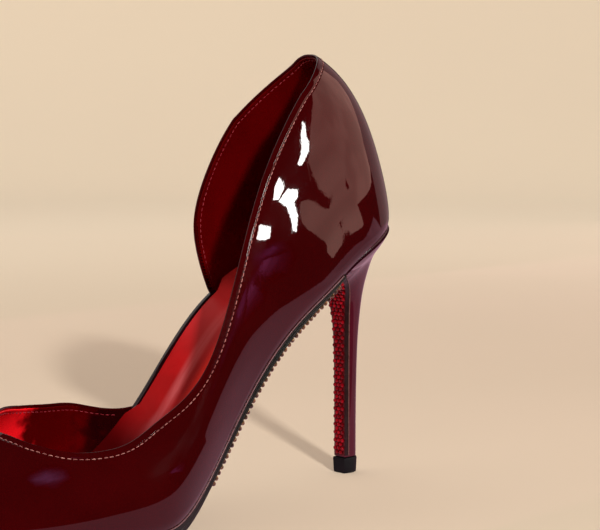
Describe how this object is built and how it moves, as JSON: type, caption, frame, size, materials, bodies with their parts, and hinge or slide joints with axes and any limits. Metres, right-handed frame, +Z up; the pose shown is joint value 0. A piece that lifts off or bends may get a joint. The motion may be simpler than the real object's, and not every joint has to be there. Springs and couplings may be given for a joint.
{
  "type": "stiletto pump",
  "caption": "Pointed high-heeled pump, left shoe, dark red patent leather with a cut-away inner side, red lining, stones set under the waist and on the heel's breast.",
  "frame": {"origin": "middle of the shoe's box, on the floor", "axes": "+X from the toe to the heel, +Y to the inner side of the foot, +Z up"},
  "size_m": [0.2416, 0.0798, 0.1677],
  "materials": {
    "burgundy_patent": "glossy patent, very dark red",
    "red_leather": "satin red lining leather",
    "dark_patent": "glossy, nearly black wrapped edge",
    "black_sole": "black waxed sole leather, satin",
    "bronze_stones": "small set stones, dark bronze, backed",
    "red_stones": "small set stones, red, backed",
    "black_rubber": "matte black heel tip"
  },
  "bodies": {
    "root": {"upper": "burgundy_patent", "insole": "red_leather", "insole_binding": "dark_patent", "outsole": "black_sole", "waist_stones": "bronze_stones", "heel": "burgundy_patent", "breast_stones": "red_stones", "top_piece": "black_rubber"}
  },
  "joints": []
}
